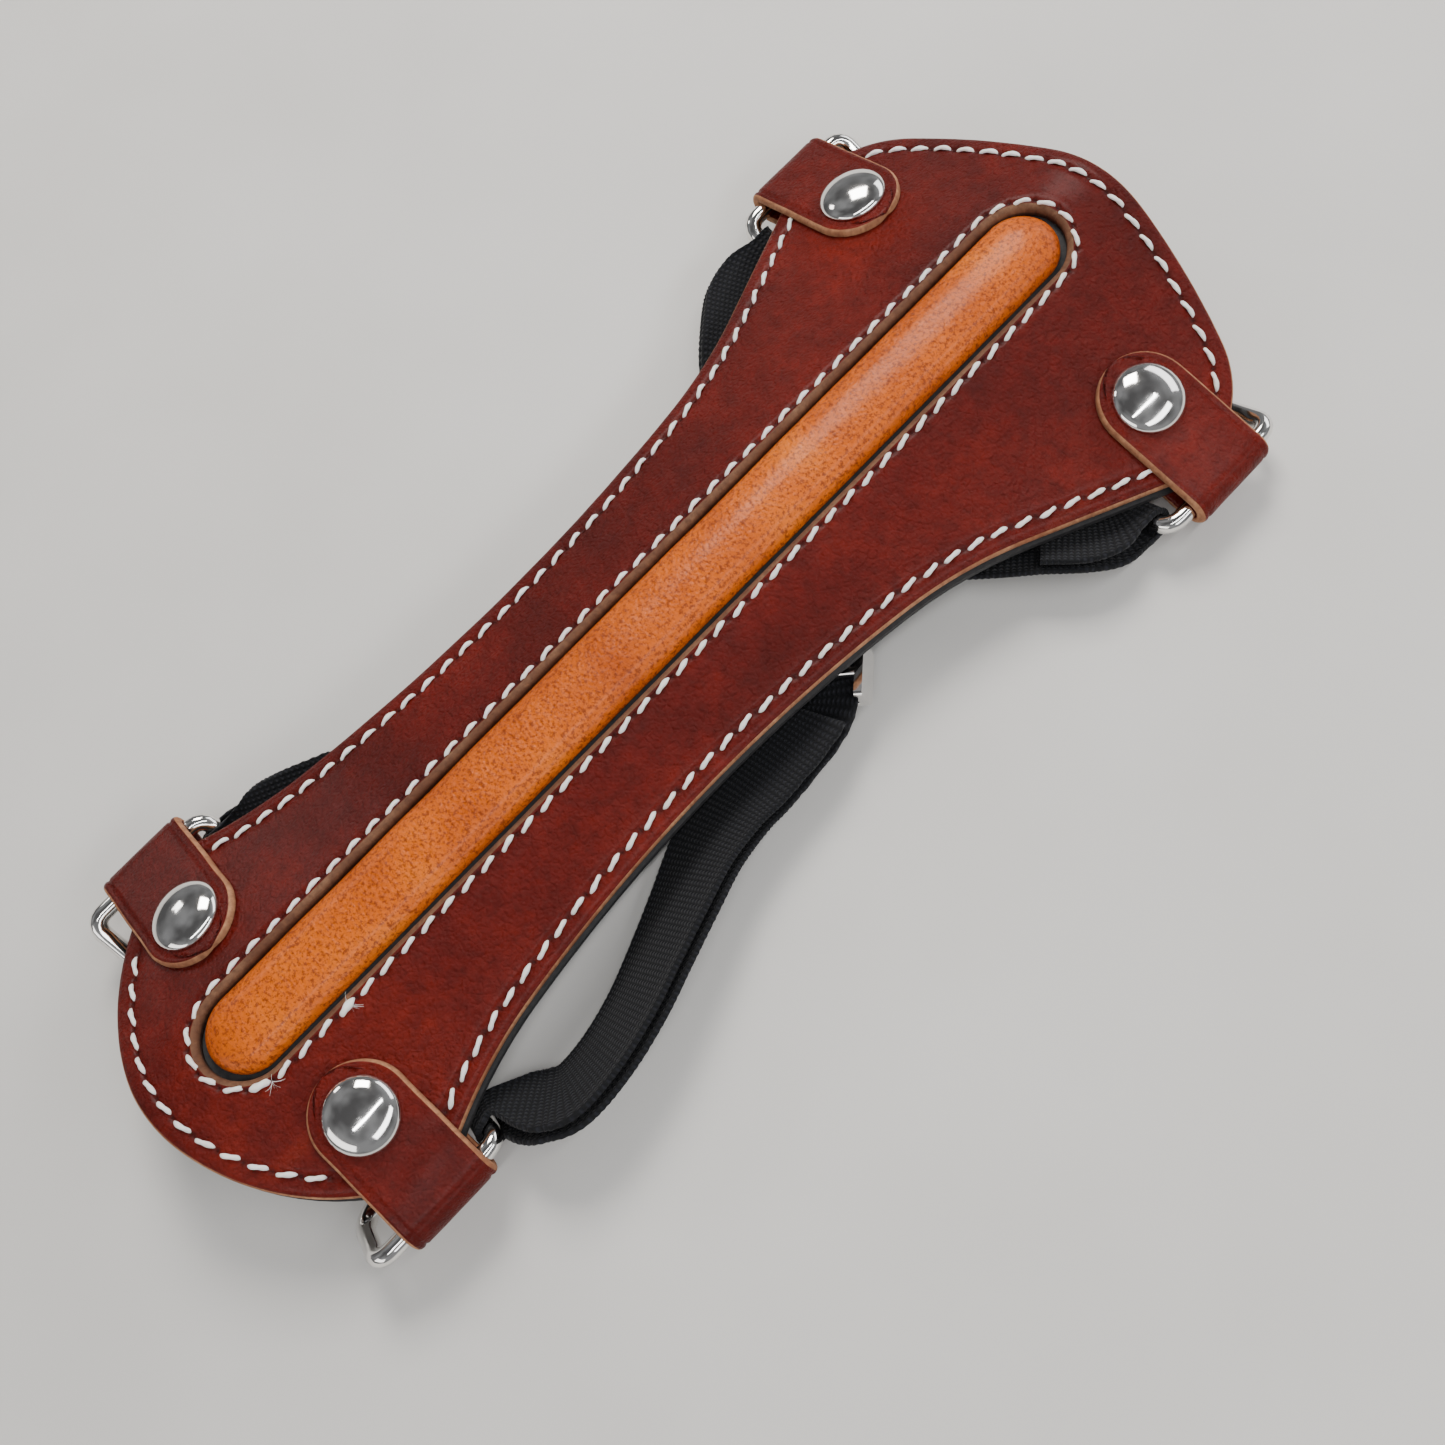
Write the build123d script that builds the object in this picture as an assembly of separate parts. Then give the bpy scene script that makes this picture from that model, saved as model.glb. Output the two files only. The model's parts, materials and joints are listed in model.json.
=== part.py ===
"""Leather archery arm guard: hourglass panel, lining, stiffened rib, four ring tabs, two elastic straps.

Frame: millimetres, +Z up, +Y towards the elbow end, +X to the right, origin under the middle of the
guard on the surface it rests on. The guard is an arch: a round crown along Y with a flat side each way.
"""
import os
from math import asin, cos, degrees, pi, radians, sin

from build123d import *

# ---- driving dimensions -------------------------------------------------------------------------
LENGTH = 214.0              # wrist tip to elbow tip
CROWN_TOP = 20.2            # outer leather face above the resting surface, on the centre line
SIDE_SLOPE = 15.0           # degrees that each flat side falls away from the crown
CROWN_ARC = 9.0             # half of the crown's arc length
PANEL_THICK = 2.2
LINING_THICK = 1.0
TAB_THICK = 1.6

WAIST_Y = -13.0
WAIST_HALF = 24.8
WAIST_RADIUS = 300.0
WAIST_ARC = 8.0             # degrees of the waist arc each way
FLARE_RADIUS = 85.0
FLARE_ARCS = {1: 15.4, -1: 26.0}    # degrees of the flare that follows it, elbow way and wrist way
WRIST_END_RADIUS = 38.0
WRIST_CORNER = 9.0
ELBOW_TIP_RADIUS = 45.0
ELBOW_TIP_ARC = 14.5        # degrees each way before the flatter shoulders start
ELBOW_SHOULDER_RADIUS = 130.0
ELBOW_SHOULDER_ARC = 26.0
ELBOW_CORNER = 19.0
EDGE_SEAM_INSET = 3.0

SLOT_HALF = 7.7
SLOT_WRIST_Y = -95.6
SLOT_ELBOW_Y = 94.9
SLOT_SEAM_OUT = 1.5         # seam line beyond the slot's edge
THREAD = 0.8                # thread diameter, half of it sunk in the leather
RIB_HALF = 6.5
RIB_PROUD = 1.2             # rib above the leather face
RIB_DOME = 2.9              # height of the rounded top
RIB_LEATHER = 0.8
RIB_FLANGE = 6.0            # rib leather caught under the panel, beyond the slot's edge

TAB_WIDTH = 16.4
WRIST_ARC = 22.4            # rivets of the wrist tabs, along the leather from the centre line
WRIST_Y = -83.9
ELBOW_ARC = 32.9
ELBOW_Y = 80.6
RING_SHIFTS = {"wrist": -1.3, "elbow": -0.2}     # each ring along its fold from the tab's middle
TAB_REACH = 20.0            # rivet centre to the outside of the fold
CAP_RADIUS = 6.0
CAP_RIM = 0.7
CAP_HEIGHT = 2.6
POST_RADIUS = 1.6
FOOT_RADIUS = 4.5
FOOT_THICK = 0.8

WIRE = 1.5                  # ring wire radius
RING_WIDTH = 24.6           # between the wire's centre lines
RING_DEPTH = 12.4
RING_NEAR_CORNER = 2.5
RING_FAR_CORNER = 4.2
RING_WRAP = 5.35            # the strap crosses the ring's side this far from its bar

STRAP_THICK = 1.1
STRAP_GAP = 0.12            # webbing to wire
STRAP_GATHER = 5.6          # the webbing's width where a ring gathers it
PLY_STEP = 2.0              # between the two plies' middles where they run together
FLOOR_GAP = 0.15            # webbing above the resting surface

SLIDER_LENGTH = 9.0
SLIDER_WIDTH = 20.0
SLIDER_BAR = 0.9            # radius of its cross bars
SLIDER_CHEEK = 1.4
SLIDER_GAP = 0.3            # webbing to the slider's bars
SLIDER_LIFT = 2.5           # keeps a leaning slider's low corner off the resting surface

# ---- values that follow from them ---------------------------------------------------------------
SLOPE = radians(SIDE_SLOPE)
CROWN_RADIUS = CROWN_ARC / SLOPE
STACK = PANEL_THICK + LINING_THICK
FOLD_RADIUS = STACK / 2
HALF_LENGTH = LENGTH / 2
REACH = 80.0                # beyond every edge of the guard
SEAM_HALF = THREAD / 2
FOLD_X = TAB_REACH - FOLD_RADIUS - TAB_THICK
TABS = {"wrist": (WRIST_ARC, WRIST_Y), "elbow": (ELBOW_ARC, ELBOW_Y)}
SIDES = {"right": 1, "left": -1}
WRAP_STEPS = 6
MERGE_STATIONS = 3          # the two plies lie together from this station on, counted from a ring
RING_EXIT = 2.2             # the webbing runs this far straight out of a ring
SEWN_STATIONS = 5


def side_point(arc, depth=0.0):
    """Point on the right flat side: `arc` along the leather from the centre line, `depth` under it."""
    along = arc - CROWN_ARC
    x = CROWN_RADIUS * sin(SLOPE) + along * cos(SLOPE) - depth * sin(SLOPE)
    z = CROWN_TOP - CROWN_RADIUS * (1 - cos(SLOPE)) - along * sin(SLOPE) - depth * cos(SLOPE)
    return x, z


def under(depth):
    """Everything below the arch that lies `depth` under the outer leather face."""
    radius = CROWN_RADIUS - depth
    centre_z = CROWN_TOP - CROWN_RADIUS
    knee = (radius * sin(SLOPE), centre_z + radius * cos(SLOPE))
    foot = (knee[0] + REACH * cos(SLOPE), knee[1] - REACH * sin(SLOPE))
    low = -REACH
    profile = [
        Line((-foot[0], low), (-foot[0], foot[1])),
        Line((-foot[0], foot[1]), (-knee[0], knee[1])),
        ThreePointArc((-knee[0], knee[1]), (0, centre_z + radius), knee),
        Line(knee, foot),
        Line(foot, (foot[0], low)),
        Line((foot[0], low), (-foot[0], low)),
    ]
    face = Plane.XZ * make_face(profile)
    return extrude(face, HALF_LENGTH + REACH, both=True)


def layer(top, bottom):
    """The arched layer between two depths under the outer leather face."""
    return under(top) - under(bottom)


def prism(face):
    """A plan shape made tall enough to cut every layer."""
    return extrude(face, REACH, both=True)


def guard_outline(inset=0.0):
    """Hourglass plan outline: two sides of tangent arcs, a round wrist end, a gabled elbow end.
    `inset` gives the same outline moved inward by that much."""
    right = []
    far_ends = []
    for way in (1, -1):
        waist = JernArc((WAIST_HALF - inset, WAIST_Y), (0, way), WAIST_RADIUS + inset, -way * WAIST_ARC)
        flare = JernArc(waist @ 1, waist % 1, FLARE_RADIUS + inset, -way * FLARE_ARCS[way])
        straight = Line(flare @ 1, flare @ 1 + (flare % 1) * REACH)
        right += [waist, flare, straight]
        far_ends.append(straight @ 1)
    left = [mirror(edge, about=Plane.YZ) for edge in right]
    closing = [Line(end, (-end.X, end.Y)) for end in far_ends]
    waist_strip = make_face(right + left + closing)

    centre_y = WRIST_END_RADIUS - HALF_LENGTH
    tip = JernArc((0, HALF_LENGTH - inset), (1, 0), ELBOW_TIP_RADIUS - inset, -ELBOW_TIP_ARC)
    shoulder = JernArc(tip @ 1, tip % 1, ELBOW_SHOULDER_RADIUS - inset, -ELBOW_SHOULDER_ARC)
    last = shoulder @ 1
    drop = Line(last, (last.X, centre_y))
    half = [tip, shoulder, drop]
    base = Line((last.X, centre_y), (-last.X, centre_y))
    limits = make_face(half + [mirror(edge, about=Plane.YZ) for edge in half] + [base])
    limits += Pos(0, centre_y) * Circle(WRIST_END_RADIUS - inset)

    outline = (waist_strip & limits).faces()[0]
    elbow_corners = sorted(outline.vertices(), key=lambda v: abs(v.X))[-2:]
    outline = fillet(elbow_corners, ELBOW_CORNER - inset)
    wrist_corners = sorted(outline.vertices(), key=lambda v: v.Y)[:2]
    return fillet(wrist_corners, WRIST_CORNER - inset)


def stadium(half_width, wrist_y, elbow_y):
    """Long round-ended plan shape between two tips on the centre line."""
    middle = (wrist_y + elbow_y) / 2
    straight = elbow_y - wrist_y - 2 * half_width
    return Pos(0, middle) * Rot(0, 0, 90) * SlotCenterToCenter(straight, 2 * half_width)


def slot_shape(grow):
    """The slot's plan shape, made wider all round by `grow`."""
    return stadium(SLOT_HALF + grow, SLOT_WRIST_Y - grow, SLOT_ELBOW_Y + grow)


def dome(half_width, wrist_y, elbow_y, top):
    """Round-ended bar with a rounded top, tall enough to be cut by the lining underneath."""
    rise = RIB_DOME * half_width / RIB_HALF
    shoulder_z = top - rise
    profile = [
        Line((0, shoulder_z - 8), (half_width, shoulder_z - 8)),
        Line((half_width, shoulder_z - 8), (half_width, shoulder_z)),
        RadiusArc((half_width, shoulder_z), (0, top), -(half_width**2 + rise**2) / (2 * rise)),
        Line((0, top), (0, shoulder_z - 8)),
    ]
    face = Plane.XZ * make_face(profile)
    near = wrist_y + half_width
    far = elbow_y - half_width
    end = revolve(face, Axis.Z, 360)
    half_bar = extrude(face, -(far - near))
    bar = half_bar + mirror(half_bar, about=Plane.YZ)
    return Pos(0, near, 0) * bar + Pos(0, near, 0) * end + Pos(0, far, 0) * end


# ---- tabs, rivets and rings, in a tab's own frame -----------------------------------------------
# A tab's frame has its origin on the outer leather face at the rivet, x down the slope, z outward.
def tab_plane(arc, y, way):
    x, z = side_point(arc)
    return Plane(origin=(way * x, y, z), x_dir=(way * cos(SLOPE), 0, -sin(SLOPE)),
                 z_dir=(way * sin(SLOPE), 0, cos(SLOPE)))


def tab():
    """Leather strip folded round the ring's bar, with a round inner end and a rivet hole."""
    half = TAB_WIDTH / 2
    deep = STACK + 2 * TAB_THICK
    outside = Pos((FOLD_X - half) / 2, -FOLD_RADIUS) * Rectangle(FOLD_X + half, deep)
    outside += Pos(FOLD_X, -FOLD_RADIUS) * Circle(deep / 2)
    inside = Pos((FOLD_X - half) / 2, -FOLD_RADIUS) * Rectangle(FOLD_X + half, STACK)
    inside += Pos(FOLD_X, -FOLD_RADIUS) * Circle(FOLD_RADIUS)
    strip = extrude(Plane.XZ * (outside - inside), half, both=True)
    plan = Circle(half) + Pos(TAB_REACH / 2 + 2, 0) * Rectangle(TAB_REACH + 4, TAB_WIDTH)
    hole = Cylinder(POST_RADIUS, 40)
    return (strip & prism(plan)) - hole


def cap():
    """Domed rivet cap on a low rim, flat underneath."""
    rise = CAP_HEIGHT - CAP_RIM
    profile = [
        Line((0, TAB_THICK), (CAP_RADIUS, TAB_THICK)),
        Line((CAP_RADIUS, TAB_THICK), (CAP_RADIUS, TAB_THICK + CAP_RIM)),
        RadiusArc((CAP_RADIUS, TAB_THICK + CAP_RIM), (0, TAB_THICK + CAP_HEIGHT),
                  -(CAP_RADIUS**2 + rise**2) / (2 * rise)),
        Line((0, TAB_THICK + CAP_HEIGHT), (0, TAB_THICK)),
    ]
    return revolve(Plane.XZ * make_face(profile), Axis.Z, 360)


def post():
    """Rivet post through tab, panel, lining and tab, with its flat foot underneath."""
    bottom = -(STACK + TAB_THICK)
    shaft = Pos(0, 0, (TAB_THICK + bottom) / 2) * Cylinder(POST_RADIUS, TAB_THICK - bottom)
    foot = Pos(0, 0, bottom - FOOT_THICK / 2) * Cylinder(FOOT_RADIUS, FOOT_THICK)
    return shaft + foot


def ring_wire(depth, half_width):
    """Half of the ring's centre line, from the middle of its bar to the middle of its far side."""
    return FilletPolyline(
        (0, 0), (0, half_width), (depth, half_width), (depth, 0),
        radius=[RING_NEAR_CORNER, RING_FAR_CORNER],
    )


def ring_seat(end, way):
    """Pivot of a ring on its fold axis, and its hang below level, which rests its far side on z = 0."""
    arc, y = TABS[end]
    x, z = side_point(arc + FOLD_X, FOLD_RADIUS)
    hang = asin((z - WIRE) / RING_DEPTH)
    return Vector(way * x, y + RING_SHIFTS[end], z), hang


def ring(end, way):
    """Ring of round wire on the fold's axis, hanging inward and down to the resting surface."""
    pivot, hang = ring_seat(end, way)
    side = sweep(Plane.XZ * Circle(WIRE), path=ring_wire(RING_DEPTH, RING_WIDTH / 2))
    whole = side + mirror(side, about=Plane.XZ)
    seat = Plane(origin=pivot, x_dir=(-way * cos(hang), 0, -sin(hang)), z_dir=(-way * sin(hang), 0, cos(hang)))
    return seat.location * whole


# ---- straps and sliders -------------------------------------------------------------------------
def ring_station(end, way, side, out=0.0):
    """Where a strap goes round a ring's side, or `out` beyond it; `side` is +1 or -1 for the side in Y."""
    pivot, hang = ring_seat(end, way)
    x = pivot.X - way * RING_WRAP * cos(hang)
    z = pivot.Z - RING_WRAP * sin(hang)
    return x, pivot.Y + side * (RING_WIDTH / 2 + out), z, degrees(hang), STRAP_GATHER


def resting(x, y, lean, width, lift=0.0):
    """Station of a strap that stands with its lower edge on the resting surface, or `lift` above it."""
    tilt = radians(lean)
    thick = (STRAP_THICK + PLY_STEP) / 2
    z = FLOOR_GAP + lift + width / 2 * sin(tilt) + thick * cos(tilt)
    return x, y, z, lean, width


def strap_frames(route):
    """Centre, forward, normal, across and width at each station; `across` points to the outer edge."""
    points = [Vector(*station[:3]) for station in route]
    last = len(points) - 1
    frames = []
    for i, station in enumerate(route):
        ahead = points[min(i + 1, last)] - points[max(i - 1, 0)]
        at_ring = min(i, last - i) < 2
        forward = Vector(0 if at_ring else ahead.X, ahead.Y, 0).normalized()
        lean = radians(station[3])
        across = forward.cross(Vector(0, 0, 1)) * cos(lean) + Vector(0, 0, 1) * sin(lean)
        frames.append((points[i], forward, across.cross(forward), across, station[4]))
    return frames


def ply(frames, side, gaps):
    """Cross sections of one ply, set off from the route by half of the gap between the plies."""
    return [(centre + normal * (side * gap / 2), normal * side, across, width)
            for (centre, forward, normal, across, width), gap in zip(frames, gaps)]


def wrap(frame, out_of_route):
    """Cross sections half-way round a ring's side, from the upper ply to the lower one."""
    centre, forward, normal, across, width = frame
    radius = WIRE + STRAP_GAP + STRAP_THICK / 2
    sections = []
    for step in range(1, WRAP_STEPS):
        angle = pi * step / WRAP_STEPS
        out = normal * cos(angle) + forward * (out_of_route * sin(angle))
        sections.append((centre + out * radius, out, across, width))
    return sections


def strap(route, adjusting, sewn):
    """Webbing of two plies: an adjusting ply, round the first ring, along the route, round the last
    ring and a short sewn-back ply. `adjusting` and `sewn` are how many stations those plies cover."""
    frames = strap_frames(route)
    wrap_step = 2 * (WIRE + STRAP_GAP) + STRAP_THICK
    gaps = []
    for i in range(len(frames)):
        from_end = min(i, len(frames) - 1 - i)
        spread = min(1.0, max(0.0, (MERGE_STATIONS - from_end) / 2))
        gaps.append(PLY_STEP + (wrap_step - PLY_STEP) * spread)
    upper = ply(frames, 1, gaps)
    sections = upper[:adjusting][::-1] + wrap(frames[0], -1) + ply(frames, -1, gaps)
    sections += wrap(frames[-1], 1)[::-1] + upper[-sewn:][::-1]
    wires = []
    for centre, normal, across, width in sections:
        half = across * (width / 2)
        thick = normal * (STRAP_THICK / 2)
        corners = [centre - half - thick, centre + half - thick, centre + half + thick, centre - half + thick]
        wires.append(Wire.make_polygon(corners, close=True))
    return Solid.make_loft(wires, ruled=True)


def slider(frames, station):
    """Three-bar slider on the lower ply: two bars under it, one over it, and a cheek at each side."""
    centre, forward, normal, across, width = frames[station]
    bar_z = STRAP_THICK / 2 + SLIDER_GAP + SLIDER_BAR
    cheek_y = (SLIDER_WIDTH - SLIDER_CHEEK) / 2
    bar_x = SLIDER_LENGTH / 2 - SLIDER_BAR
    frame = None
    for way in (1, -1):
        cheek = Box(SLIDER_LENGTH, SLIDER_CHEEK, 2 * (bar_z + SLIDER_BAR))
        cheek = fillet(cheek.edges().filter_by(Axis.Y), SLIDER_BAR)
        placed = Pos(0, way * cheek_y, 0) * cheek
        frame = placed if frame is None else frame + placed
    for x, z in ((bar_x, -bar_z), (-bar_x, -bar_z), (0, bar_z)):
        frame += Pos(x, 0, z) * Rot(90, 0, 0) * Cylinder(SLIDER_BAR, SLIDER_WIDTH - SLIDER_CHEEK)
    seat = Plane(origin=centre - normal * (PLY_STEP / 2), x_dir=forward, z_dir=normal)
    return seat.location * frame


WRIST_ROUTE = [
    ring_station("wrist", 1, 1),
    ring_station("wrist", 1, 1, RING_EXIT),
    resting(36.6, -67.2, 43, 12, 1.0),
    resting(38.8, -64.4, 46, 15, 0.2),
    resting(40.6, -60.5, 48, 16),
    resting(40.2, -53.0, 48, 16),
    resting(38.2, -44.5, 47, 16),
    resting(35.3, -36.5, 45, 16),
    resting(32.0, -28.0, 41, 16),
    resting(28.8, -20.0, 35, 16),
    resting(26.9, -12.0, 27, 16, 0.6),
    resting(26.2, -5.0, 19, 16, 1.6),
    resting(24.6, 7.1, 14, 16, SLIDER_LIFT),
    resting(20.7, 11.7, 14, 16, SLIDER_LIFT),
    resting(16.8, 16.3, 14, 16, SLIDER_LIFT),
    resting(12.2, 20.4, 14, 16, 1.2),
    resting(6.2, 22.0, 14, 16),
    resting(0.0, 20.6, 14, 16),
    resting(-6.6, 15.8, 14, 16),
    resting(-11.8, 8.2, 13, 16),
    resting(-14.8, -1.0, 11, 16),
    resting(-16.4, -11.5, 9, 16),
    resting(-17.2, -22.5, 8, 16),
    resting(-18.6, -33.0, 9, 16),
    resting(-20.8, -43.5, 13, 16),
    resting(-24.0, -53.5, 20, 16),
    resting(-28.0, -62.0, 29, 15, 0.3),
    resting(-31.0, -67.6, 36, 12, 1.1),
    ring_station("wrist", -1, 1, RING_EXIT),
    ring_station("wrist", -1, 1),
]
WRIST_SLIDER = 13           # station of the slider on the wrist strap

ELBOW_ROUTE = [
    ring_station("elbow", -1, -1),
    ring_station("elbow", -1, -1, RING_EXIT),
    resting(-41.4, 62.2, 25, 11, 0.6),
    resting(-38.2, 57.8, 26, 15),
    resting(-33.6, 52.4, 25, 16),
    resting(-28.0, 46.6, 20, 16),
    resting(-21.6, 43.0, 12, 16, 0.5),
    resting(-14.0, 41.8, 4, 16, 1.2),
    resting(-7.5, 41.7, 0, 16, 2.0),
    resting(-1.0, 41.7, 0, 16, 2.0),
    resting(5.5, 41.7, 0, 16, 2.0),
    resting(13.0, 42.8, 4, 16, 1.2),
    resting(20.0, 45.4, 12, 16, 0.5),
    resting(26.4, 49.8, 20, 16),
    resting(32.4, 54.8, 25, 16),
    resting(38.0, 59.4, 26, 15),
    resting(41.4, 62.8, 25, 11, 0.6),
    ring_station("elbow", 1, -1, RING_EXIT),
    ring_station("elbow", 1, -1),
]
ELBOW_SLIDER = 9            # station of the slider on the elbow strap


# ---- the pieces ---------------------------------------------------------------------------------
def build():
    """Every piece in its place, by node name."""
    outline = guard_outline()
    skin = layer(0, PANEL_THICK) & prism(outline)
    backing = layer(PANEL_THICK, STACK) & prism(outline)
    edge_band = guard_outline(EDGE_SEAM_INSET - SEAM_HALF) - guard_outline(EDGE_SEAM_INSET + SEAM_HALF)
    slot_band = slot_shape(SLOT_SEAM_OUT + SEAM_HALF) - slot_shape(SLOT_SEAM_OUT - SEAM_HALF)
    thread = layer(-SEAM_HALF, SEAM_HALF)
    edge_stitching = thread & prism(edge_band)
    slot_stitching = thread & prism(slot_band)

    rib = dome(RIB_HALF, SLOT_WRIST_Y + SLOT_HALF - RIB_HALF, SLOT_ELBOW_Y - SLOT_HALF + RIB_HALF,
               CROWN_TOP + RIB_PROUD) - under(PANEL_THICK)
    core_half = RIB_HALF - RIB_LEATHER
    core = dome(core_half, SLOT_WRIST_Y + SLOT_HALF - core_half, SLOT_ELBOW_Y - SLOT_HALF + core_half,
                CROWN_TOP + RIB_PROUD - RIB_LEATHER) - under(PANEL_THICK)
    flange = layer(PANEL_THICK - RIB_LEATHER, PANEL_THICK) & prism(slot_shape(RIB_FLANGE))
    panel = skin - prism(slot_shape(0)) - flange - edge_stitching - slot_stitching
    pieces = {
        "rib_cover": rib + flange - core,
        "rib_core": core,
        "slot_stitching": slot_stitching,
    }

    for end, (arc, y) in TABS.items():
        for side, way in SIDES.items():
            seat = tab_plane(arc, y, way).location
            strip = seat * tab()
            hole = seat * Cylinder(POST_RADIUS, 40)
            panel -= hole
            backing -= hole
            edge_stitching -= strip
            edge_stitching -= hole
            pieces[f"tab_{end}_{side}"] = strip
            pieces[f"cap_{end}_{side}"] = seat * cap()
            pieces[f"post_{end}_{side}"] = seat * post()
            pieces[f"ring_{end}_{side}"] = ring(end, way)
    pieces["top_panel"] = panel
    pieces["lining"] = backing
    pieces["edge_stitching"] = edge_stitching

    for end, route, station in (("wrist", WRIST_ROUTE, WRIST_SLIDER), ("elbow", ELBOW_ROUTE, ELBOW_SLIDER)):
        pieces[f"{end}_strap"] = strap(route, station - 1, SEWN_STATIONS)
        pieces[f"{end}_slider"] = slider(strap_frames(route), station)
    return pieces


os.makedirs("parts", exist_ok=True)
for name, piece in build().items():
    export_step(piece, f"parts/{name}.step")
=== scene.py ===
"""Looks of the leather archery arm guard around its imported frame. Shapes are in millimetres until
mesh_piece() writes metres. Materials, lights and the floor's texture are in metres."""
import json
from math import asin, cos, pi, radians, sin, sqrt, tan

import bpy
import numpy as np
from mathutils import Matrix, Vector, noise


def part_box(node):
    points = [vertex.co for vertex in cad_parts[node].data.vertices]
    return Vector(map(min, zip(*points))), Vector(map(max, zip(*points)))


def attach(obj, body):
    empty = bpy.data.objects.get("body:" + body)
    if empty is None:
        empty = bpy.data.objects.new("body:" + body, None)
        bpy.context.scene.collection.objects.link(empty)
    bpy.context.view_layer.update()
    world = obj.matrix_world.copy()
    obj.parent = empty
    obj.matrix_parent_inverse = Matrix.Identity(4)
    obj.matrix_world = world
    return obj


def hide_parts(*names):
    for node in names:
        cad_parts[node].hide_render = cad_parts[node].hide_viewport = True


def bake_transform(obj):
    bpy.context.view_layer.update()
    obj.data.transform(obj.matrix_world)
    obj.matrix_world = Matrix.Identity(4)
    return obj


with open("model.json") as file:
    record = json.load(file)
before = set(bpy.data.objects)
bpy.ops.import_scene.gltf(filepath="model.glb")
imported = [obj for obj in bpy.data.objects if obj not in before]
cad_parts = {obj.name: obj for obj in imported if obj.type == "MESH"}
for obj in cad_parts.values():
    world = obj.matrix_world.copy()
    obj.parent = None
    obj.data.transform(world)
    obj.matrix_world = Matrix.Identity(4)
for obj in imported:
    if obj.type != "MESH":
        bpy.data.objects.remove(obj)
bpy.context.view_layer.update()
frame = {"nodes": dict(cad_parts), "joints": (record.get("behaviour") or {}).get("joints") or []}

MM = 0.001

# ---- the guard's driving dimensions, as in the solids unless a comment says otherwise ----
CROWN_TOP = (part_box("slot_stitching")[1].z / MM) - 0.4
SLOPE = radians(15)
CROWN_RADIUS = 9.0 / SLOPE
KNEE_X = CROWN_RADIUS * sin(SLOPE)
KNEE_Z = CROWN_TOP - CROWN_RADIUS * (1 - cos(SLOPE))
PANEL_THICK = 2.2
STACK = 3.2
HALF_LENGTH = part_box("lining")[1].y / MM
WAIST_Y = -13.0
WAIST_HALF = 24.8
WAIST_RADIUS = 300.0
WAIST_ARC = radians(8)
FLARE_RADIUS = 85.0
ELBOW_FLARE_ARC = radians(15.4)
WRIST_END_RADIUS = 38.0
WRIST_CORNER = 9.0
ELBOW_TIP_RADIUS = 45.0
ELBOW_TIP_ARC = radians(14.5)
ELBOW_SHOULDER_RADIUS = 130.0
ELBOW_CORNER = 19.0
SLOT_HALF = 7.7
SLOT_ENDS = (-95.6 + SLOT_HALF, 94.9 - SLOT_HALF)
EDGE_SEAM = 3.0
SLOT_SEAM = 1.5
RIB_HALF = 6.6               # the solid's is 0.1 less
TAB_HALF = 8.2
TAB_THICK = 1.6
FOLD_X = 16.8
FOLD_RADIUS = STACK / 2
WIRE = 1.5
RING_HALF = 12.3
RING_DEPTH = 12.4
STRAP_THICK = 1.1
PLY_STEP = 2.0
STEP = 0.55                 # spacing of mesh points along the outline


# ---- small helpers ----
def mesh_piece(name, verts, faces, materials, face_slots=None, smooth=True, uv=None):
    """Mesh object from points in millimetres; face_slots picks each face's material."""
    mesh = bpy.data.meshes.new(name)
    mesh.from_pydata([tuple(v) for v in np.asarray(verts, float) * MM], [], faces)
    for material in materials:
        mesh.materials.append(material)
    if face_slots is not None:
        mesh.polygons.foreach_set("material_index", np.asarray(face_slots, np.int32))
    mesh.polygons.foreach_set("use_smooth", np.full(len(faces), smooth))
    if uv is not None:
        layer = mesh.uv_layers.new(name="UVMap")
        loops = np.empty(len(mesh.loops), np.int32)
        mesh.loops.foreach_get("vertex_index", loops)
        layer.data.foreach_set("uv", np.asarray(uv, np.float32)[loops].ravel())
    mesh.update()
    piece = bpy.data.objects.new(name, mesh)
    bpy.context.scene.collection.objects.link(piece)
    return piece


def grid_faces(rows, columns, wrap_rows=False, wrap_columns=False, start=0):
    """Quads of a rows x columns grid of points, closed on itself where asked."""
    faces = []
    for r in range(rows if wrap_rows else rows - 1):
        for c in range(columns if wrap_columns else columns - 1):
            a = start + r * columns + c
            b = start + r * columns + (c + 1) % columns
            d = start + ((r + 1) % rows) * columns + c
            e = start + ((r + 1) % rows) * columns + (c + 1) % columns
            faces.append((a, b, e, d))
    return faces


def arch(x, y, lift):
    """Point above plan position x, y, `lift` off the outer leather face along its normal."""
    x, y, lift = np.broadcast_arrays(np.asarray(x, float), np.asarray(y, float), np.asarray(lift, float))
    side = np.sign(x)
    flat = np.abs(x) > KNEE_X
    angle = np.where(flat, SLOPE, np.arcsin(np.clip(np.abs(x), 0, KNEE_X) / CROWN_RADIUS))
    z = np.where(flat, KNEE_Z - (np.abs(x) - KNEE_X) * tan(SLOPE),
                 CROWN_TOP - CROWN_RADIUS * (1 - np.cos(angle)))
    return np.stack([x + side * lift * np.sin(angle), y, z + lift * np.cos(angle)], -1)


def resample(points, step, closed):
    """Evenly spaced points along a polyline, near `step` apart."""
    points = np.asarray(points, float)
    if closed:
        points = np.vstack([points, points[:1]])
    run = np.concatenate([[0], np.cumsum(np.linalg.norm(np.diff(points, axis=0), axis=1))])
    count = int(round(run[-1] / step))
    at = np.linspace(0, run[-1], count + 1)
    if closed:
        at = at[:-1]
    return np.stack([np.interp(at, run, points[:, i]) for i in range(points.shape[1])], -1), run[-1]


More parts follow.
